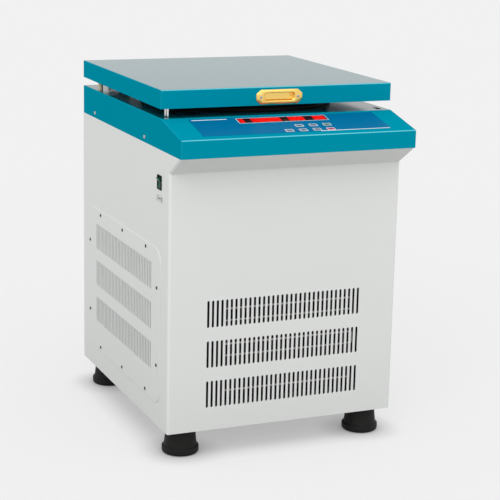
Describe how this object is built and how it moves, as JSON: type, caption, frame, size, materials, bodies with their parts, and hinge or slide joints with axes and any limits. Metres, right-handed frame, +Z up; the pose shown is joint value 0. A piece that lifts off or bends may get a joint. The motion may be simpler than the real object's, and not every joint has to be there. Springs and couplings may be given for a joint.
{
  "type": "floor-standing refrigerated centrifuge",
  "caption": "Floor-standing refrigerated centrifuge: vented cabinet on rubber feet, sloping keypad console, hinged flat lid over a cooled chamber with a swing-bucket rotor.",
  "frame": {"origin": "on the floor, at the middle of the footprint", "axes": "+X to the right seen from the front, +Y to the back, +Z up"},
  "size_m": [0.6105, 0.765, 0.886],
  "materials": {
    "frame_steel": "satin",
    "white_enamel": "satin",
    "teal_enamel": "gloss",
    "lid_liner_enamel": "gloss",
    "black_rubber": "matte",
    "gasket_rubber": "satin",
    "zinc_steel": "satin",
    "dark_screws": "satin",
    "blue_film": "satin",
    "red_window": "gloss",
    "display_black": "matte",
    "board_green": "satin",
    "black_plastic": "satin",
    "stainless": "satin",
    "copper": "satin",
    "insulation_foam": "matte",
    "motor_casting": "satin",
    "black_enamel": "satin",
    "aluminium_fins": "satin",
    "chrome": "polished",
    "cream_rubber": "satin",
    "brass": "polished",
    "shaft_steel": "satin",
    "rotor_aluminium": "satin",
    "bucket_aluminium": "satin",
    "green_rocker": "gloss",
    "grey_key": "satin",
    "red_key": "satin",
    "green_key": "satin"
  },
  "bodies": {
    "cabinet": {"base_frame": "frame_steel", "floor_pan": "white_enamel", "rubber_feet": "black_rubber", "foot_studs": "zinc_steel", "front_panel": "white_enamel", "left_side_panel": "white_enamel", "right_side_panel": "white_enamel", "rear_panel": "white_enamel", "left_access_panel": "white_enamel", "right_access_panel": "white_enamel", "panel_screws": "dark_screws", "console_cover": "teal_enamel", "control_overlay": "blue_film", "display_window": "red_window", "digit_displays": "display_black", "control_board": "board_green", "power_switch_body": "black_plastic", "chamber_bowl": "stainless", "chamber_gasket": "gasket_rubber", "evaporator_jacket": "copper", "foam_jacket": "insulation_foam", "motor_plate": "frame_steel", "vibration_mounts": "black_rubber", "drive_motor": "motor_casting", "neck_seal": "gasket_rubber", "compressor": "black_enamel", "condenser": "aluminium_fins", "fan_shroud": "zinc_steel", "fan_motor": "black_enamel", "refrigerant_pipes": "copper", "power_module": "motor_casting", "lid_lock_housing": "zinc_steel", "hinge_base_leaves": "chrome", "hinge_pins": "chrome", "cable_gland": "black_plastic", "lid_buffers": "cream_rubber"},
    "lid": {"lid_shell": "teal_enamel", "lid_liner": "lid_liner_enamel", "lid_insulation": "insulation_foam", "lid_handle": "brass", "handle_screws": "zinc_steel", "lid_striker": "chrome", "hinge_lid_leaves": "chrome"},
    "rotor": {"drive_shaft": "shaft_steel", "swing_rotor": "rotor_aluminium", "rotor_nut": "shaft_steel"},
    "condenser_fan": {"condenser_fan": "black_plastic"},
    "power_rocker": {"power_rocker": "green_rocker"},
    "lock_bolt": {"lock_bolt": "chrome"},
    "bucket_1": {"bucket_1": "bucket_aluminium"},
    "bucket_2": {"bucket_2": "bucket_aluminium"},
    "bucket_3": {"bucket_3": "bucket_aluminium"},
    "bucket_4": {"bucket_4": "bucket_aluminium"},
    "set_key": {"set_key": "grey_key"},
    "down_key": {"down_key": "grey_key"},
    "brake_key": {"brake_key": "grey_key"},
    "stop_key": {"stop_key": "red_key"},
    "up_key": {"up_key": "grey_key"},
    "select_key": {"select_key": "grey_key"},
    "start_key": {"start_key": "green_key"}
  },
  "joints": [
    {"name": "lid_hinge", "type": "hinge", "parent": "cabinet", "child": "lid", "pos_m": [0, 0.3755, 0.831], "axis": [-1, 0, 0], "range_deg": [0, 80]},
    {"name": "rotor_spin", "type": "hinge", "parent": "cabinet", "child": "rotor", "pos_m": [0, 0.0315, 0.721], "axis": [0, 0, 1], "continuous": true},
    {"name": "fan_spin", "type": "hinge", "parent": "cabinet", "child": "condenser_fan", "pos_m": [0, -0.2115, 0.261], "axis": [0, 1, 0], "continuous": true},
    {"name": "power_rocker_tilt", "type": "hinge", "parent": "cabinet", "child": "power_rocker", "pos_m": [-0.2975, -0.243, 0.6695], "axis": [0, 1, 0], "range_deg": [0, 24]},
    {"name": "lock_bolt_slide", "type": "slide", "parent": "cabinet", "child": "lock_bolt", "axis": [-1, 0, 0], "range_m": [0, 0.02]},
    {"name": "bucket_1_swing", "type": "hinge", "parent": "rotor", "child": "bucket_1", "pos_m": [0.105, 0.0315, 0.721], "axis": [0, -1, 0], "range_deg": [0, 90]},
    {"name": "bucket_2_swing", "type": "hinge", "parent": "rotor", "child": "bucket_2", "pos_m": [0, 0.1365, 0.721], "axis": [1, 0, 0], "range_deg": [0, 90]},
    {"name": "bucket_3_swing", "type": "hinge", "parent": "rotor", "child": "bucket_3", "pos_m": [-0.105, 0.0315, 0.721], "axis": [0, 1, 0], "range_deg": [0, 90]},
    {"name": "bucket_4_swing", "type": "hinge", "parent": "rotor", "child": "bucket_4", "pos_m": [0, -0.0735, 0.721], "axis": [-1, 0, 0], "range_deg": [0, 90]},
    {"name": "set_key_press", "type": "slide", "parent": "cabinet", "child": "set_key", "axis": [0, 0.2216, -0.9751], "range_m": [0, 0.0006], "stiffness_N_per_m": 1500},
    {"name": "down_key_press", "type": "slide", "parent": "cabinet", "child": "down_key", "axis": [0, 0.2216, -0.9751], "range_m": [0, 0.0006], "stiffness_N_per_m": 1500},
    {"name": "brake_key_press", "type": "slide", "parent": "cabinet", "child": "brake_key", "axis": [0, 0.2216, -0.9751], "range_m": [0, 0.0006], "stiffness_N_per_m": 1500},
    {"name": "stop_key_press", "type": "slide", "parent": "cabinet", "child": "stop_key", "axis": [0, 0.2216, -0.9751], "range_m": [0, 0.0006], "stiffness_N_per_m": 1500},
    {"name": "up_key_press", "type": "slide", "parent": "cabinet", "child": "up_key", "axis": [0, 0.2216, -0.9751], "range_m": [0, 0.0006], "stiffness_N_per_m": 1500},
    {"name": "select_key_press", "type": "slide", "parent": "cabinet", "child": "select_key", "axis": [0, 0.2216, -0.9751], "range_m": [0, 0.0006], "stiffness_N_per_m": 1500},
    {"name": "start_key_press", "type": "slide", "parent": "cabinet", "child": "start_key", "axis": [0, 0.2216, -0.9751], "range_m": [0, 0.0006], "stiffness_N_per_m": 1500}
  ]
}
